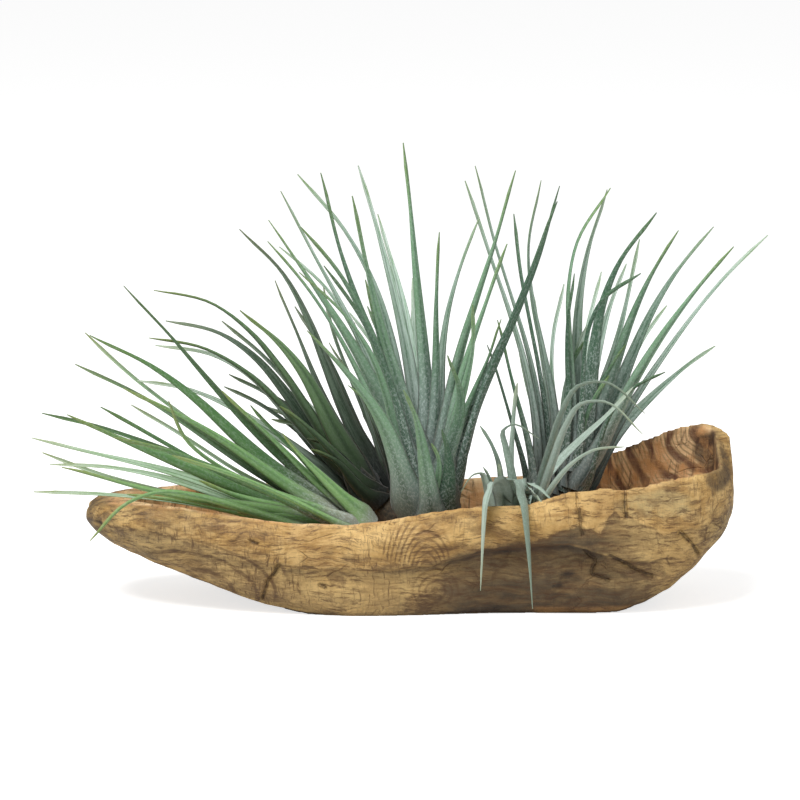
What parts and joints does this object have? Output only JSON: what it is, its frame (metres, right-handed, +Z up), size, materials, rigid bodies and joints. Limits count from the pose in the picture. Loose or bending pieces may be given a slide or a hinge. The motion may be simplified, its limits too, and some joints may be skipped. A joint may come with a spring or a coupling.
{
  "type": "air plant holder",
  "caption": "Long bowl hollowed out of a teak root, low at one end and high at the other, in which loose air plants stand that lift out to be soaked.",
  "frame": {"origin": "middle of the bowl's length and depth, on the flat that it stands on", "axes": "+X along the bowl to its high end, -Y to the front, +Z up"},
  "size_m": [0.5197, 0.2575, 0.3247],
  "materials": {
    "teak_root": "hewn and polished teak root, golden sapwood with dark growth rings, cracks and grey weathered hollows",
    "green_leaf": "satin green leaf with a silver bloom at the foot",
    "dark_leaf": "satin dark green leaf, brownish at the foot",
    "silver_green_leaf": "satin silvery green leaf, greener to the tip",
    "silver_leaf": "matte silver leaf with a felt of scales",
    "plant_stem": "dry brown stem with old leaf bases"
  },
  "bodies": {
    "bowl": {"bowl": "teak_root"},
    "left_plant": {"left_plant_stem": "plant_stem", "left_plant_inner_leaves": "green_leaf", "left_plant_middle_leaves": "green_leaf", "left_plant_outer_leaves": "green_leaf"},
    "fanned_plant": {"fanned_plant_stem": "plant_stem", "fanned_plant_inner_leaves": "dark_leaf", "fanned_plant_middle_leaves": "dark_leaf", "fanned_plant_outer_leaves": "dark_leaf"},
    "bulb_plant": {"bulb_plant_stem": "plant_stem", "bulb_plant_inner_leaves": "silver_green_leaf", "bulb_plant_middle_leaves": "silver_green_leaf", "bulb_plant_outer_leaves": "silver_green_leaf"},
    "right_plant": {"right_plant_stem": "plant_stem", "right_plant_inner_leaves": "silver_green_leaf", "right_plant_middle_leaves": "silver_green_leaf", "right_plant_outer_leaves": "silver_green_leaf"},
    "curly_plant": {"curly_plant_stem": "plant_stem", "curly_plant_inner_leaves": "silver_leaf", "curly_plant_middle_leaves": "silver_leaf", "curly_plant_outer_leaves": "silver_leaf"}
  },
  "joints": [
    {"name": "lift_left_plant", "type": "slide", "parent": "bowl", "child": "left_plant", "axis": [-0.9205, 0, 0.3907], "range_m": [0, 0.1]},
    {"name": "lift_fanned_plant", "type": "slide", "parent": "bowl", "child": "fanned_plant", "axis": [-0.682, 0, 0.7314], "range_m": [0, 0.1]},
    {"name": "lift_bulb_plant", "type": "slide", "parent": "bowl", "child": "bulb_plant", "axis": [-0.1219, 0, 0.9925], "range_m": [0, 0.1]},
    {"name": "lift_right_plant", "type": "slide", "parent": "bowl", "child": "right_plant", "axis": [0.309, 0, 0.9511], "range_m": [0, 0.1]},
    {"name": "lift_curly_plant", "type": "slide", "parent": "bowl", "child": "curly_plant", "axis": [0, -0.225, 0.9744], "range_m": [0, 0.1]}
  ]
}
